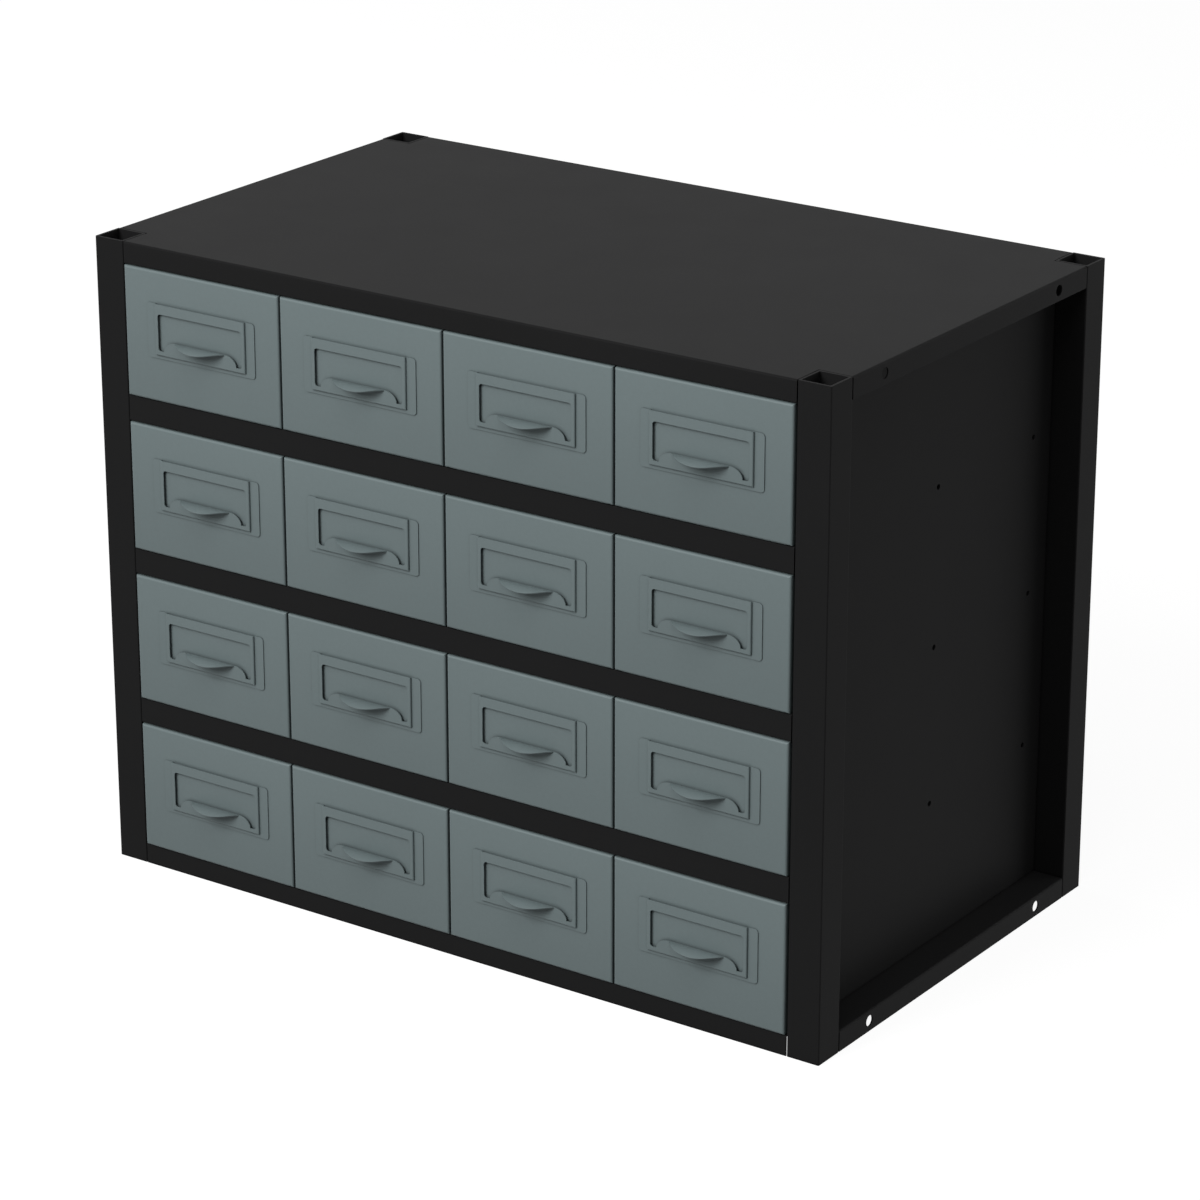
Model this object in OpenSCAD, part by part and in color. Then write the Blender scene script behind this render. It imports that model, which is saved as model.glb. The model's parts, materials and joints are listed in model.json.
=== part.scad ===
// Stacking parts bin cabinet: a folded steel case on four tube posts, with rows of bin drawers.
// Frame: +X to the right of someone who faces the drawers, +Y to the back, +Z up, millimetres.
// Origin: middle of the cabinet's footprint, pulls included, on the surface that it stands on.

/* [Case] */
// Width over the posts
case_w = 610; // [500:5:760]
// Depth over the posts
case_d = 356; // [300:2:460]
// Height of the posts
case_h = 474.5; // [420:0.5:620]
// Rows of drawers
rows = 4; // [2:1:4]
// Drawers in a row
cols = 4; // [3:1:4]

/* [Posts] */
// Outside width of the square tube
post_w = 25.4; // [20:0.1:40]
// Wall of the tube
post_wall = 1.9; // [1.2:0.1:3]
// Outside corner radius of the tube
post_corner_r = 1; // [0.5:0.1:3]
// Inside corner radius of the tube
post_bore_r = 0.4; // [0.2:0.1:2]

/* [Case sheets] */
// Thickness of the panels and shelves
sheet_t = 1.2; // [0.8:0.1:2]
// Inside bend radius of the panels and shelves
bend_r = 0.3; // [0.2:0.1:3]
// Flange height of the top and bottom panels
flange_h = 15.5; // [12:0.5:24]
// Height of the rail at the front of each shelf
rail_h = 19; // [14:0.5:28]
// Gap between a panel's or rail's end and the post
notch_gap = 0.5; // [0.4:0.1:3]

/* [Holes] */
// Diameter of the bolt holes in the side flanges
bolt_d = 8; // [5:0.5:9]
// Distance between the two bolt holes of a side flange
bolt_spacing = 227; // [150:1:240]
// Diameter of the small fastening holes at the shelves
rivet_d = 4; // [2.5:0.5:6]
// Fastening holes in a row, at each end of a shelf
rivet_count = 3; // [2:1:6]
// Distance of the outer fastening holes from the front and from the back of the case
rivet_inset = 49; // [36:1:90]

/* [Guide ribs] */
// Clearance between a pressed guide rib and the drawer on each side of it
rib_gap = 1.75; // [0.5:0.05:2.5]
// Width of the flat on top of a guide rib
rib_flat = 1; // [0.4:0.2:2]
// Height of a guide rib above its deck
rib_h = 5; // [3:0.5:8]
// Distance that a rib stops short of the front and of the back
rib_inset = 24; // [12:1:60]

/* [Drawers] */
// Thickness of the drawer sheet
drawer_t = 1; // [0.7:0.1:1.5]
// Inside bend radius of the drawer sheet
drawer_r = 0.6; // [0.3:0.1:2]
// Distance that the drawer fronts stand proud of the posts
front_proud = 1.7; // [0:0.1:4]
// Gap beside each drawer front
front_gap = 1.5; // [0.8:0.1:3]
// Gap above each drawer front
top_gap = 0.9; // [0.5:0.1:3]
// Running clearance under a drawer's floor
floor_gap = 0.4; // [0.3:0.1:0.9]
// Depth of the returned edges behind a drawer front
return_d = 9; // [6:0.5:14]
// Distance of a drawer's side from the edge of its front
side_inset = 4; // [3.5:0.1:6]
// Distance that a drawer's sides stay below the rail above
side_drop = 12; // [8:1:40]
// Height of the folded hem along the sides and back
hem_h = 7; // [4:0.5:12]
// Gap behind the drawers
back_gap = 6; // [2:0.5:20]
// How far a drawer pulls out before it meets its stop
travel = 245; // [120:1:250]
// Clearance left between a stop tab and the rail at full travel
stop_gap = 0.4; // [0.3:0.1:1]
// Length of a stop tab along the side
tab_len = 12; // [8:1:20]
// How far a stop tab reaches above the lower edge of the rail
tab_reach = 5; // [3:0.5:8]

/* [Label-holder pulls] */
// Thickness of the pressed sheet
pull_t = 0.7; // [0.5:0.05:1.2]
// Width of the rim at each side of the raised frame
rim_w = 7.75; // [4:0.25:12]
// Distance of the pull's middle above the middle of the drawer front
pull_rise = 4.5; // [-8:0.5:10]
// Corner radius of the rim
pull_corner_r = 2.5; // [1:0.5:5]
// Rim left below the raised frame
frame_foot = 2.8; // [2:0.1:4]
// Room for a card behind the raised frame
card_gap = 1.6; // [0.8:0.1:2.5]
// Inside radius of the raised frame's edges
frame_r = 0.2; // [0.1:0.1:0.8]
// Width of the frame's bar at each side of the window
frame_bar = 2.75; // [2:0.25:6]
// Width of the label window
window_w = 75; // [60:1:84]
// Height of the label window
window_h = 27; // [20:0.2:36]
// Height of the pull above the window
head_h = 6.9; // [4:0.1:12]
// Height of the frame's bar under the window
window_sill = 3.3; // [2:0.1:4]
// Corner radius of the window
window_r = 2.2; // [1:0.1:4]
// Distance of the tongue's foot from each side of the window
tongue_inset = 5; // [2.5:0.5:8]
// Height of the tongue above the sill
tongue_h = 7.6; // [5:0.2:11]
// Width of the finger lip where it leaves the tongue
lip_w = 44; // [30:1:48]
// How far the finger lip stands out from the raised frame
lip_reach = 11; // [6:0.1:14]
// How far the lip's edge droops below its root
lip_droop = 1.5; // [0.5:0.1:4]
// Radius of the lip's arched upper face
lip_arc_r = 13.7; // [8:0.1:20]

/* [Hidden] */
$fn = 48;
CASE_NODES = [
    "post_front_left", "post_front_right", "post_rear_left", "post_rear_right",
    "top_panel", "bottom_panel", "side_panel_left", "side_panel_right", "back_panel",
];
SHELF_NODES = [for (s = [1:rows - 1]) str("shelf_", s)];
DRAWER_NODES = [for (r = [1:rows], c = [1:cols]) str("drawer_r", r, "c", c)];
PULL_NODES = [for (r = [1:rows], c = [1:cols]) str("pull_r", r, "c", c)];

case_color = [0.14, 0.14, 0.145];
drawer_color = [0.43, 0.475, 0.47];

// A cut passes this far beyond the face that it opens
eps = 0.5;

// Case
frame_out = card_gap + pull_t;
reach_out = front_proud + frame_out + lip_reach;
front_y = reach_out - (case_d + reach_out) / 2;
rear_y = front_y + case_d;
inner_x = case_w / 2 - post_w;
inner_front_y = front_y + post_w;
inner_rear_y = rear_y - post_w;
notch = post_w + notch_gap;
deck_pitch = (case_h - 2 * flange_h + rail_h) / rows;
opening_h = deck_pitch - rail_h;
bolt_z = flange_h / 2;
rivet_spacing = (case_d - 2 * rivet_inset) / (rivet_count - 1);

// Drawers
drawer_pitch = (2 * inner_x - front_gap) / cols;
front_w = drawer_pitch - front_gap;
front_h = opening_h - floor_gap - top_gap;
body_w = front_w - 2 * side_inset;
body_l = case_d - post_w - back_gap;
side_h = opening_h - floor_gap - side_drop;
tab_y = sheet_t + stop_gap + travel;
tab_top = opening_h + tab_reach - floor_gap;

// Guide ribs: what the running clearances leave of the space between two drawers
rib_w = drawer_pitch - body_w - 2 * rib_gap;
rib_r = (rib_w - rib_flat) / 2;

// Pulls
frame_w = window_w + 2 * frame_bar;
sill_z = frame_foot + window_sill;
pull_w = frame_w + 2 * rim_w;
pull_h = sill_z + window_h + head_h;
frame_h = pull_h - frame_foot;
tongue_w = window_w - 2 * tongue_inset;
tongue_top = sill_z + tongue_h;
// The tongue's top stays flat this far beyond each end of the lip
tongue_margin = 0.3;
tongue_flat = lip_w / 2 + tongue_margin;
tongue_round = tongue_w / 2 - tongue_flat;
tongue_steps = 9;
// Seen from the side the lip is an arc through its root, at the frame, and its drooping edge.
// The arc's centre lies lip_axis_out before the frame and lip_axis_drop below the root.
lip_chord = norm([lip_reach, lip_droop]);
lip_axis_dist = sqrt(lip_arc_r * lip_arc_r - lip_chord * lip_chord / 4);
lip_axis_out = lip_reach / 2 - lip_axis_dist * lip_droop / lip_chord;
lip_axis_drop = lip_droop / 2 + lip_axis_dist * lip_reach / lip_chord;
// Its edge is cut square to the sheet: by a cylinder that leans out with the arc's radius there
lip_lean = asin((lip_reach - lip_axis_out) / lip_arc_r);
// The lip's root lies this far below the tongue's top
lip_step = 0.1;
// The crescent's two points are cut off blunt, this far in
lip_blunt = 0.3;
lip_point_w = lip_w + 2 * lip_blunt;
// Seen along that cylinder, the edge is an arc lip_depth deep, with its points lip_point_w apart
lip_depth = lip_reach * cos(lip_lean) + lip_droop * sin(lip_lean);
lip_plan_r = (lip_point_w * lip_point_w / 4 + lip_depth * lip_depth) / (2 * lip_depth);

// Height of the deck that carries a row, counted from the top
function deck_z(row) = flange_h + (rows - row) * deck_pitch;
// Middle of a drawer across the case, columns counted from the left
function drawer_x(col) = (col - (cols + 1) / 2) * drawer_pitch;

// ---- Shared shapes ----

// A square from (0, 0) to (w, h) with all four corners rounded
module rounded_rect(w, h, r) {
    translate([r, 0]) square([w - 2 * r, h]);
    translate([0, r]) square([w, h - 2 * r]);
    for (x = [r, w - r], y = [r, h - r]) translate([x, y]) circle(r);
}

// A square centred on x = 0, from 0 to h, with its two upper corners rounded
module arch_rect(w, h, r) {
    translate([-w / 2, 0]) square([w, h - r]);
    translate([r - w / 2, 0]) square([w - 2 * r, h]);
    for (side = [-1, 1]) translate([side * (w / 2 - r), h - r]) circle(r);
}

// Extrudes a profile drawn in X and Z along +Y
module along_y(length) {
    translate([0, length, 0]) rotate([90, 0, 0]) linear_extrude(length) children();
}

// Extrudes a profile drawn in Y and Z along X, centred
module along_x(length) {
    translate([-length / 2, 0, 0]) rotate([90, 0, 90]) linear_extrude(length) children();
}

// A block with the four edges of its upper face rounded, front face at y = 0
module bent_block(w, d, h, r) {
    intersection() {
        along_y(d) arch_rect(w, h, r);
        translate([0, d / 2, 0]) along_x(w) arch_rect(d, h, r);
    }
}

// A sheet pan, open below: a deck with flanges down on all four sides
module pan(w, d, h) {
    difference() {
        bent_block(w, d, h, bend_r + sheet_t);
        translate([0, sheet_t, -eps])
            bent_block(w - 2 * sheet_t, d - 2 * sheet_t, h - sheet_t + eps, bend_r);
    }
}

// Pressed ribs that keep neighbouring drawers apart, hollow from below; z = 0 is the deck
module guide_ribs(y0, y1) {
    for (i = [1:cols - 1])
        translate([(i - cols / 2) * drawer_pitch, y0, -sheet_t])
            bent_block(rib_w, y1 - y0, rib_h + sheet_t, rib_r);
}

module guide_rib_hollows(y0, y1) {
    for (i = [1:cols - 1])
        translate([(i - cols / 2) * drawer_pitch, y0 + sheet_t, -sheet_t - eps])
            bent_block(rib_w - 2 * sheet_t, y1 - y0 - 2 * sheet_t, rib_h + eps, rib_r - sheet_t);
}

// ---- Case ----

module post() {
    color(case_color)
        linear_extrude(case_h)
            difference() {
                rounded_rect(post_w, post_w, post_corner_r);
                translate([post_wall, post_wall])
                    rounded_rect(post_w - 2 * post_wall, post_w - 2 * post_wall, post_bore_r);
            }
}

// Places a post's corner: side -1 left, 1 right; end -1 front, 1 rear
module place_post(side, end) {
    x = side < 0 ? -case_w / 2 : inner_x;
    y = end < 0 ? front_y : inner_rear_y;
    translate([x, y, 0]) post();
}

// The top or bottom panel, its flange edges at z = 0
module end_panel() {
    difference() {
        translate([0, front_y, 0]) pan(case_w, case_d, flange_h);
        for (side = [-1, 1], end = [-1, 1])
            translate([side * case_w / 2, (front_y + rear_y) / 2 + end * case_d / 2, 0])
                cube([2 * notch, 2 * notch, 3 * flange_h], center = true);
        for (end = [-1, 1])
            translate([0, (front_y + rear_y) / 2 + end * bolt_spacing / 2, bolt_z])
                rotate([0, 90, 0]) cylinder(h = case_w + 2 * eps, d = bolt_d, center = true);
    }
}

module top_panel() {
    color(case_color) translate([0, 0, case_h - flange_h]) end_panel();
}

module bottom_panel() {
    rib_y0 = front_y + rib_inset;
    rib_y1 = inner_rear_y - rib_inset;
    color(case_color)
        difference() {
            union() {
                end_panel();
                translate([0, 0, flange_h]) guide_ribs(rib_y0, rib_y1);
            }
            translate([0, 0, flange_h]) guide_rib_hollows(rib_y0, rib_y1);
        }
}

// Side panel between the posts, flush with their inner faces
module side_panel(side) {
    z0 = flange_h;
    z1 = case_h - sheet_t;
    x0 = side < 0 ? -inner_x - sheet_t : inner_x;
    color(case_color)
        difference() {
            translate([x0, inner_front_y, z0])
                cube([sheet_t, inner_rear_y - inner_front_y, z1 - z0]);
            for (row = [1:rows - 1]) shelf_rivets(row);
        }
}

module back_panel() {
    z0 = flange_h;
    z1 = case_h - sheet_t;
    color(case_color)
        translate([-inner_x, inner_rear_y, z0])
            cube([2 * inner_x, sheet_t, z1 - z0]);
}

// Fastening holes of the shelf under a row, through both sides of the case
module shelf_rivets(row) {
    for (i = [0:rivet_count - 1])
        translate([0, front_y + rivet_inset + i * rivet_spacing, deck_z(row) - rail_h / 2])
            rotate([0, 90, 0]) cylinder(h = case_w, d = rivet_d, center = true);
}

// The shelf under a row; its front flange is the rail between two rows
module shelf(row) {
    rib_y0 = front_y + rib_inset;
    rib_y1 = inner_rear_y - rib_inset;
    z = deck_z(row);
    color(case_color)
        difference() {
            union() {
                translate([0, front_y, z - rail_h]) pan(2 * inner_x, inner_rear_y - front_y, rail_h);
                translate([0, 0, z]) guide_ribs(rib_y0, rib_y1);
            }
            translate([0, 0, z]) guide_rib_hollows(rib_y0, rib_y1);
            for (side = [-1, 1])
                translate([side * inner_x, front_y, z])
                    cube([2 * notch_gap, 2 * notch, 3 * rail_h], center = true);
            shelf_rivets(row);
        }
}

// ---- Drawers ----

// Front of a drawer: a shallow tray whose edges are returned behind it; front face at y = 0
module drawer_front() {
    difference() {
        front_block(front_w, front_h, return_d, drawer_r + drawer_t);
        translate([0, drawer_t, drawer_t])
            front_block(front_w - 2 * drawer_t, front_h - 2 * drawer_t, return_d, drawer_r);
    }
}

// A block whose face at y = 0 has rounded edges, standing on z = 0
module front_block(w, h, d, r) {
    translate([0, 0, h / 2])
        rotate([90, 0, 0])
            translate([0, -h / 2, -d])
                bent_block(w, h, d, r);
}

// Floor and sides as one folded trough, with hems folded inwards along the top
module trough(length) {
    along_y(length)
        difference() {
            mirror([0, 1]) translate([0, -side_h]) arch_rect(body_w, side_h, drawer_r + drawer_t);
            mirror([0, 1])
                translate([0, -side_h - eps])
                    arch_rect(body_w - 2 * drawer_t, side_h - drawer_t + eps, drawer_r);
        }
    for (side = [-1, 1])
        translate([side * (body_w / 2 - drawer_t), 0, side_h - hem_h])
            along_y(length) translate([-drawer_t, 0]) arch_hem();
}

// Section of a hem: the wall doubled, round on top, two sheets wide
module arch_hem() {
    square([2 * drawer_t, hem_h]);
    translate([drawer_t, hem_h]) circle(drawer_t);
}

// Back wall, let in between the sides, with its own hem
module drawer_back() {
    inner_w = body_w - 2 * drawer_t;
    translate([-inner_w / 2, 0, 0]) cube([inner_w, drawer_t, side_h]);
    translate([0, -drawer_t, side_h - hem_h])
        along_x(inner_w) arch_hem();
}

// Stop tab on the outside of one side wall
module stop_tab(side) {
    x0 = side < 0 ? -body_w / 2 : body_w / 2 - drawer_t;
    translate([x0, 0, side_h - hem_h]) cube([drawer_t, tab_len, tab_top - side_h + hem_h]);
}

// A whole drawer; its floor's underside at z = 0, the posts' front at y = 0
module drawer_sheet() {
    translate([0, -front_proud, 0]) drawer_front();
    translate([0, -front_proud + drawer_t, 0]) trough(body_l + front_proud - drawer_t);
    translate([0, body_l - drawer_t, 0]) drawer_back();
    for (side = [-1, 1]) translate([0, tab_y, 0]) stop_tab(side);
}

module drawer(row, col) {
    color(drawer_color)
        translate([drawer_x(col), front_y, deck_z(row) + floor_gap]) drawer_sheet();
}

// ---- Label-holder pulls ----

// Outline of the window: a rounded rectangle less the tongue that rises from the sill
module window_outline() {
    difference() {
        translate([-window_w / 2, sill_z]) rounded_rect(window_w, window_h, window_r);
        tongue_outline();
    }
}

// The tongue: flat where the lip leaves it, with an elliptical shoulder at each side
module tongue_outline() {
    shoulder = [
        for (i = [0:tongue_steps])
            let (a = 90 * i / tongue_steps)
            [tongue_flat + tongue_round * cos(a), sill_z + tongue_h * sin(a)]
    ];
    half = concat([[0, sill_z - eps], [shoulder[0][0], sill_z - eps]], shoulder, [[0, tongue_top]]);
    polygon(half);
    mirror([1, 0]) polygon(half);
}

// The raised frame as a solid block, its back on the drawer front; it runs out at the top
module frame_block(w, h, d, r) {
    intersection() {
        translate([0, 0, -h]) linear_extrude(2 * h) mirror([0, 1]) arch_rect(w, d, r);
        along_x(w) translate([-d, 0]) frame_side(d, h, r);
    }
}

// Side view of the raised frame: rounded at its lower front edge only
module frame_side(d, h, r) {
    translate([0, r]) square([d, h - r]);
    translate([r, 0]) square([d - r, h]);
    translate([r, r]) circle(r);
}

// The finger lip: an arched sheet, cut to a crescent; its root lies in the frame's front plane
module finger_lip() {
    intersection() {
        along_x(lip_w)
            intersection() {
                translate([-lip_axis_out, -lip_axis_drop]) arched_section();
                translate([-lip_reach - eps, -lip_axis_drop])
                    square([lip_reach + eps + pull_t / 2, lip_axis_drop + lip_arc_r]);
            }
        translate([0, -lip_reach, -lip_droop])
            rotate([lip_lean, 0, 0])
                translate([0, lip_plan_r, 0])
                    cylinder(r = lip_plan_r, h = 2 * lip_arc_r, $fn = 120, center = true);
    }
}

// Section of the arched sheet, centred on the arch's axis
module arched_section() {
    difference() {
        circle(lip_arc_r, $fn = 120);
        circle(lip_arc_r - pull_t, $fn = 120);
    }
}

// A whole pull; its back at y = 0, its lower edge at z = 0
module pull_sheet() {
    difference() {
        union() {
            rotate([90, 0, 0])
                linear_extrude(pull_t)
                    translate([-pull_w / 2, 0]) rounded_rect(pull_w, pull_h, pull_corner_r);
            translate([0, 0, frame_foot]) frame_block(frame_w, frame_h, frame_out, frame_r + pull_t);
        }
        translate([0, eps, frame_foot + pull_t])
            frame_block(frame_w - 2 * pull_t, frame_h + eps, card_gap + eps, frame_r);
        translate([0, eps, 0])
            rotate([90, 0, 0]) linear_extrude(frame_out + 2 * eps) window_outline();
    }
    translate([0, -frame_out, tongue_top - lip_step]) finger_lip();
}

module pull(row, col) {
    color(drawer_color)
        translate([
            drawer_x(col),
            front_y - front_proud,
            deck_z(row) + floor_gap + front_h / 2 + pull_rise - pull_h / 2
        ])
            pull_sheet();
}

// ---- Nodes ----

place_post(-1, -1);  // post_front_left
place_post(1, -1);  // post_front_right
place_post(-1, 1);  // post_rear_left
place_post(1, 1);  // post_rear_right
top_panel();
bottom_panel();
side_panel(-1);  // side_panel_left
side_panel(1);  // side_panel_right
back_panel();
for (s = [1:rows - 1])
    shelf(s);
for (r = [1:rows], c = [1:cols])
    drawer(r, c);
for (r = [1:rows], c = [1:cols])
    pull(r, c);
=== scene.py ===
"""Looks of the parts bin cabinet: powder-coated steel, soft studio light, a pale floor and the camera."""

import json
from math import radians

import bpy
from mathutils import Euler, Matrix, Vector

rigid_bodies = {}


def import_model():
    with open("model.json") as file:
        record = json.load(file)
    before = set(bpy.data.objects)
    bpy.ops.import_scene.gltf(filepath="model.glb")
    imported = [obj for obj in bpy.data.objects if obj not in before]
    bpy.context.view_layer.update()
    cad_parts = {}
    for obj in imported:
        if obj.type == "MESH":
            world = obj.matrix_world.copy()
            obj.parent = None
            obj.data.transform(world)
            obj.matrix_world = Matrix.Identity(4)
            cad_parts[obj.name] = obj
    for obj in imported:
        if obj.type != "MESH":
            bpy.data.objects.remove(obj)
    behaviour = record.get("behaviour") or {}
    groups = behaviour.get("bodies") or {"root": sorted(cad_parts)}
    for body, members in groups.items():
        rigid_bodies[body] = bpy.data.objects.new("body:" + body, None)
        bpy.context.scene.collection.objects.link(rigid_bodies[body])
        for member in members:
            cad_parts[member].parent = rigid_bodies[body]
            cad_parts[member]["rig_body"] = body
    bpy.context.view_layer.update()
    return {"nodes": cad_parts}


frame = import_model()

# All lengths are in metres and all colours are linear.

# Camera: its place, the way it looks, and its lens and sensor in millimetres.
CAMERA_PLACE = Vector((1.6763, -2.39205, 1.3071))
CAMERA_LOOK = Vector((-0.5356, 0.7683, -0.3505))
CAMERA_LENS = 130.62
CAMERA_SENSOR = 36.0

# Each lamp's name, its bearing to the right of the front and its height, both in degrees seen from
# the cabinet's middle, and its power in watts.
LAMPS = (
    ("key", -17, 35, 153),
    ("top", 30, 58, 40),
    ("side", 80, 16, 16),
    ("right", 132, 14, 47),
    ("left", -105, 12, 35),
)
LAMP_DISTANCE = 4.5
LAMP_SIZE = 2.25
CABINET_MIDDLE = Vector((0, 0, 0.24))

# Shares of white: the even fill, the floor's paper, and how far the floor is lifted where it is seen.
WORLD_FILL = 0.03
FLOOR_PAPER = 0.2
FLOOR_GLOW = 0.92
# Half the floor's width.
FLOOR_HALF = 8.0

# Each coat's colour, the colour of its worn edges with painted edge light (a painted highlight on the case,
# painted shade on the drawers), the strength of its reflection, and its roughness with how far that varies.
CASE_COAT = {
    "name": "case_powder_coat",
    "colour": (0.0158, 0.0158, 0.016),
    # Worn edges, painted lighter as a painted highlight.
    "edge_wear_and_light": (0.03, 0.03, 0.03),
    "shine": 0.02,
    "rough": 0.48,
    "uneven": 0.01,
}
DRAWER_COAT = {
    "name": "drawer_powder_coat",
    "colour": (0.173, 0.216, 0.2205),
    # Worn edges, painted darker as painted shade that dims the bends' highlight.
    "edge_wear_and_light": (0.145, 0.18, 0.184),
    "shine": 0.22,
    "rough": 0.46,
    "uneven": 0.02,
}

# Noise in the coats, in waves per metre, with its octaves: the patches where edges are worn and painted
# lighter or darker, the slow drift and the fine grain of the colour, the gloss and the orange peel.
PATCH_WAVES, PATCH_OCTAVES = 60, 4
DRIFT_WAVES, DRIFT_OCTAVES = 5, 3
GRAIN_WAVES, GRAIN_OCTAVES = 420, 2
GLOSS_WAVES, GLOSS_OCTAVES = 26, 5
PEEL_WAVES, PEEL_OCTAVES = 620, 2
# How much each finer octave counts in the patches and in the gloss.
PATCH_FINENESS = 0.6
GLOSS_FINENESS = 0.62
# How far drift and grain change the tone.
DRIFT_SPAN = 0.025
GRAIN_SPAN = 0.015
# The noise values between which a patch of worn edge with painted edge light fades in.
PATCH_FADE = (0.42, 0.62)
PEEL_HEIGHT = 0.000004

# How far from an edge the coat is worn and its colour painted: lighter on the case as a painted highlight,
# darker on the drawers as painted shade that dims the bends' highlight. The mask fades in as the rounded
# normal turns away from the face's own, by the cosine between them, and only where the mesh points outward.
EDGE_WEAR_AND_LIGHT_WIDTH = 0.0006
EDGE_WEAR_AND_LIGHT_FACING = (0.8, 0.98)
EDGE_WEAR_AND_LIGHT_OUTWARD = (0.5, 0.56)

# Painted shade in creases and folds: how far out of a corner the colour is darkened, the tone left deep
# in it, the shares of open sky between which that painted shade fades out, and the rays that look for them.
CREASE_SHADE_WIDTH = 0.003
CREASE_SHADE_TONE = 0.5
CREASE_SHADE_OPEN = (0.35, 0.95)
CREASE_SHADE_RAYS = 8

# Painted shade: the colour of each drawer front is darkened toward its foot. The tone left there.
FOOT_SHADE_TONE = 0.835

# The case's cut edges are eased by the coat. EDGE_ANGLE and FLAT_ANGLE, in radians, are the turns from
# which a join is an edge and up to which it is flat.
EDGE_WIDTH = 0.00022
EDGE_ANGLE = 0.6
EDGE_STEPS = 2
MERGE_DISTANCE = 0.000005
FLAT_ANGLE = 0.009

# A Mix node has sockets for every kind of data. These are its colour sockets.
MIX_FIRST, MIX_SECOND, MIX_RESULT = 6, 7, 2


def link(tree, source, target):
    """Joins two sockets of a node tree."""
    tree.links.new(source, target)


def noise(tree, coords, waves, octaves, fineness=0.5):
    """A noise texture on object coordinates; returns its value socket."""
    node = tree.nodes.new("ShaderNodeTexNoise")
    node.inputs["Scale"].default_value = waves
    node.inputs["Detail"].default_value = octaves
    node.inputs["Roughness"].default_value = fineness
    link(tree, coords, node.inputs["Vector"])
    return node.outputs["Fac"]


def spread(tree, value, low, high, start=0.3, end=0.7):
    """Maps a value from start to end onto low to high. The start and end given here suit noise."""
    node = tree.nodes.new("ShaderNodeMapRange")
    node.inputs["From Min"].default_value = start
    node.inputs["From Max"].default_value = end
    node.inputs["To Min"].default_value = low
    node.inputs["To Max"].default_value = high
    link(tree, value, node.inputs["Value"])
    return node.outputs["Result"]


def around(tree, value, middle, span):
    """Maps noise onto the values within a span of a middle."""
    return spread(tree, value, middle - span, middle + span)


def scaled(tree, colour, value):
    """The colour, made lighter or darker by a value near 1."""
    node = tree.nodes.new("ShaderNodeVectorMath")
    node.operation = "SCALE"
    link(tree, colour, node.inputs[0])
    link(tree, value, node.inputs["Scale"])
    return node.outputs["Vector"]


def combined(tree, operation, first, second):
    """Two values joined by a Math node's operation."""
    node = tree.nodes.new("ShaderNodeMath")
    node.operation = operation
    link(tree, first, node.inputs[0])
    link(tree, second, node.inputs[1])
    return node.outputs["Value"]


def mixed(tree, share, first, second):
    """A colour between two colours."""
    node = tree.nodes.new("ShaderNodeMix")
    node.data_type = "RGBA"
    link(tree, share, node.inputs["Factor"])
    node.inputs[MIX_FIRST].default_value = (*first, 1)
    node.inputs[MIX_SECOND].default_value = (*second, 1)
    return node.outputs[MIX_RESULT]


def edge_wear_and_light_mask(tree):
    """1 along the outer edges of the steel, 0 elsewhere: where edge wear and painted edge light go."""
    geometry = tree.nodes.new("ShaderNodeNewGeometry")
    rounded = tree.nodes.new("ShaderNodeBevel")
    rounded.inputs["Radius"].default_value = EDGE_WEAR_AND_LIGHT_WIDTH
    facing = tree.nodes.new("ShaderNodeVectorMath")
    facing.operation = "DOT_PRODUCT"
    link(tree, rounded.outputs["Normal"], facing.inputs[0])
    link(tree, geometry.outputs["Normal"], facing.inputs[1])
    near_edge = spread(tree, facing.outputs["Value"], 1.0, 0.0, *EDGE_WEAR_AND_LIGHT_FACING)
    outward = spread(tree, geometry.outputs["Pointiness"], 0.0, 1.0, *EDGE_WEAR_AND_LIGHT_OUTWARD)
    return combined(tree, "MULTIPLY", near_edge, outward)


def painted_crease_shade(tree):
    """Painted shade: a tone that falls from 1 in the open to its deepest tone in creases and folds, where
    shade falls.
    """
    hollow = tree.nodes.new("ShaderNodeAmbientOcclusion")
    hollow.samples = CREASE_SHADE_RAYS
    hollow.inputs["Distance"].default_value = CREASE_SHADE_WIDTH
    return spread(tree, hollow.outputs["AO"], CREASE_SHADE_TONE, 1.0, *CREASE_SHADE_OPEN)


def painted_foot_shade(tree, coords, rows):
    """Painted shade: a tone that falls from 1 at the top of each drawer to the painted shade's tone at its
    foot.
    """
    foot = rows["foot"]
    height = tree.nodes.new("ShaderNodeSeparateXYZ")
    link(tree, coords, height.inputs[0])
    in_row = tree.nodes.new("ShaderNodeMath")
    in_row.operation = "WRAP"
    in_row.inputs[1].default_value = foot + rows["pitch"]
    in_row.inputs[2].default_value = foot
    link(tree, height.outputs["Z"], in_row.inputs[0])
    return spread(tree, in_row.outputs["Value"], FOOT_SHADE_TONE, 1.0, foot, foot + rows["height"])


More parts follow.
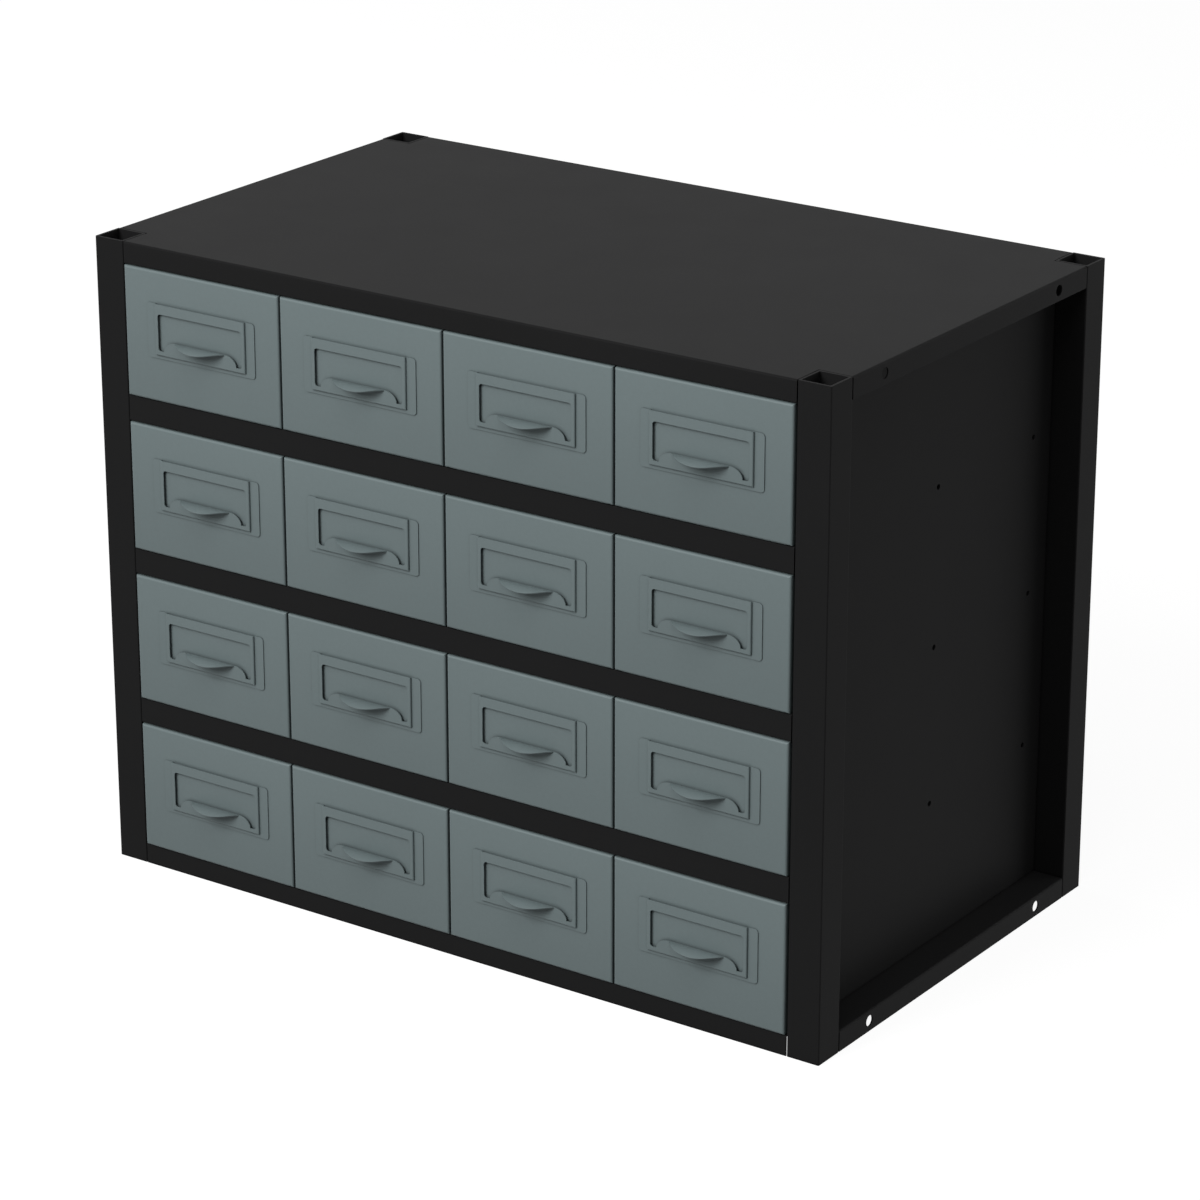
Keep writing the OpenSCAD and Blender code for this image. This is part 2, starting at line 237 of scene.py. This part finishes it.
def coat_colour_and_painted_light(tree, coords, coat, rows):
    """The coat's colour with worn edges and painted edge light, drift, grain, painted shade in corners and,
    given rows, painted shade toward the drawers' feet.
    """
    cloud = noise(tree, coords, PATCH_WAVES, PATCH_OCTAVES, PATCH_FINENESS)
    patches = spread(tree, cloud, 0.0, 1.0, *PATCH_FADE)
    # Edge wear with painted edge light: a painted highlight on the case, painted shade on the drawers.
    edge_wear_and_light = combined(tree, "MULTIPLY", edge_wear_and_light_mask(tree), patches)
    colour = mixed(tree, edge_wear_and_light, coat["colour"], coat["edge_wear_and_light"])
    # Drift and grain are the coat's own colour; the corner tone is painted shade in creases.
    tones_and_painted_shades = [
        around(tree, noise(tree, coords, DRIFT_WAVES, DRIFT_OCTAVES), 1.0, DRIFT_SPAN),
        around(tree, noise(tree, coords, GRAIN_WAVES, GRAIN_OCTAVES), 1.0, GRAIN_SPAN),
        painted_crease_shade(tree),
    ]
    # Painted shade toward the foot of each drawer front.
    if rows:
        tones_and_painted_shades.append(painted_foot_shade(tree, coords, rows))
    for tone in tones_and_painted_shades:
        colour = scaled(tree, colour, tone)
    return colour


def powder_coat(coat, rows=None):
    """Satin powder coat with varied colour, painted edge light, painted shade in creases and, given rows,
    toward each drawer's foot, uneven gloss and a fine orange peel.
    """
    material = bpy.data.materials.new(coat["name"])
    material.use_nodes = True
    tree = material.node_tree
    shader = tree.nodes["Principled BSDF"]
    coords = tree.nodes.new("ShaderNodeTexCoord").outputs["Object"]
    link(tree, coat_colour_and_painted_light(tree, coords, coat, rows), shader.inputs["Base Color"])

    gloss = noise(tree, coords, GLOSS_WAVES, GLOSS_OCTAVES, GLOSS_FINENESS)
    link(tree, around(tree, gloss, coat["rough"], coat["uneven"]), shader.inputs["Roughness"])
    shader.inputs["Specular IOR Level"].default_value = coat["shine"]

    peel = tree.nodes.new("ShaderNodeBump")
    peel.inputs["Strength"].default_value = 1.0
    peel.inputs["Distance"].default_value = PEEL_HEIGHT
    link(tree, noise(tree, coords, PEEL_WAVES, PEEL_OCTAVES), peel.inputs["Height"])
    link(tree, peel.outputs["Normal"], shader.inputs["Normal"])
    return material


def ease_edges(piece):
    """Rounds a CAD node's cut edges, with modifiers only, so that they catch light as coated steel does."""
    weld = piece.modifiers.new("weld", "WELD")
    weld.merge_threshold = MERGE_DISTANCE
    flat = piece.modifiers.new("flat", "DECIMATE")
    flat.decimate_type = "DISSOLVE"
    flat.angle_limit = FLAT_ANGLE
    bevel = piece.modifiers.new("ease", "BEVEL")
    bevel.width = EDGE_WIDTH
    bevel.segments = EDGE_STEPS
    bevel.limit_method = "ANGLE"
    bevel.angle_limit = EDGE_ANGLE
    bevel.use_clamp_overlap = False
    normals = piece.modifiers.new("normals", "WEIGHTED_NORMAL")
    normals.keep_sharp = False


def add_object(name, data):
    """A new object in the scene."""
    thing = bpy.data.objects.new(name, data)
    bpy.context.scene.collection.objects.link(thing)
    return thing


def studio_lamp(name, bearing, height, power):
    """A square soft light that faces the cabinet's middle."""
    data = bpy.data.lights.new(name, "AREA")
    data.size = LAMP_SIZE
    data.energy = power
    turn = Euler((-radians(height), 0, radians(bearing)))
    away = turn.to_matrix() @ Vector((0, -LAMP_DISTANCE, 0))
    lamp = add_object(name, data)
    lamp.location = CABINET_MIDDLE + away
    lamp.rotation_euler = away.to_track_quat("Z", "Y").to_euler()


def seen_directly(tree):
    """1 for camera, glossy and transmission rays, 0 for the rays that carry light."""
    path = tree.nodes.new("ShaderNodeLightPath")
    total = path.outputs["Is Camera Ray"]
    for kind in ("Is Glossy Ray", "Is Transmission Ray"):
        total = combined(tree, "MAXIMUM", total, path.outputs[kind])
    return total


def make_world(fill):
    """A white surrounding that gives a dimmer, even fill light."""
    world = bpy.data.worlds.new("studio")
    bpy.context.scene.world = world
    world.use_nodes = True
    tree = world.node_tree
    background = tree.nodes["Background"]
    background.inputs["Color"].default_value = (1, 1, 1, 1)
    link(tree, spread(tree, seen_directly(tree), fill, 1.0, 0.0, 1.0), background.inputs["Strength"])


def floor_paper(paper_tone, glow):
    """White paper that keeps a light shadow: dull paper, and a glow only where it is seen."""
    material = bpy.data.materials.new("floor_paper")
    material.use_nodes = True
    tree = material.node_tree
    tree.nodes.remove(tree.nodes["Principled BSDF"])
    paper = tree.nodes.new("ShaderNodeBsdfDiffuse")
    paper.inputs["Color"].default_value = (paper_tone, paper_tone, paper_tone, 1)
    shine = tree.nodes.new("ShaderNodeEmission")
    link(tree, spread(tree, seen_directly(tree), 0.0, glow, 0.0, 1.0), shine.inputs["Strength"])
    both = tree.nodes.new("ShaderNodeAddShader")
    link(tree, paper.outputs[0], both.inputs[0])
    link(tree, shine.outputs[0], both.inputs[1])
    link(tree, both.outputs[0], tree.nodes["Material Output"].inputs["Surface"])
    return material


def make_floor(half, material):
    """A wide square floor at the cabinet's foot."""
    mesh = bpy.data.meshes.new("floor")
    corners = [(-half, -half, 0), (half, -half, 0), (half, half, 0), (-half, half, 0)]
    mesh.from_pydata(corners, [], [(0, 1, 2, 3)])
    mesh.materials.append(material)
    floor = add_object("floor", mesh)


def make_camera():
    """The camera, made the scene's own."""
    data = bpy.data.cameras.new("camera")
    data.lens = CAMERA_LENS
    data.sensor_width = CAMERA_SENSOR
    camera = add_object("camera", data)
    camera.location = CAMERA_PLACE
    camera.rotation_euler = CAMERA_LOOK.to_track_quat("-Z", "Y").to_euler()
    bpy.context.scene.camera = camera


def drawer_rows(nodes):
    """The lowest drawer's foot, the rows' pitch and a drawer's height with its stop tabs."""
    lowest = [vertex.co.z for vertex in nodes["drawer_r4c1"].data.vertices]
    next_row = [vertex.co.z for vertex in nodes["drawer_r3c1"].data.vertices]
    foot = min(lowest)
    return {"foot": foot, "pitch": min(next_row) - foot, "height": max(lowest) - foot}


case_paint = powder_coat(CASE_COAT)
# The drawer rows place the painted shade toward the foot of each front.
drawer_paint = powder_coat(DRAWER_COAT, drawer_rows(frame["nodes"]))

for node in frame["nodes"].values():
    in_case = node["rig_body"] == "case"
    node.data.materials.clear()
    node.data.materials.append(case_paint if in_case else drawer_paint)
    if in_case:
        ease_edges(node)

bpy.context.scene.view_settings.view_transform = "Standard"
make_camera()
make_world(WORLD_FILL)
make_floor(FLOOR_HALF, floor_paper(FLOOR_PAPER, FLOOR_GLOW))
for lamp in LAMPS:
    studio_lamp(*lamp)
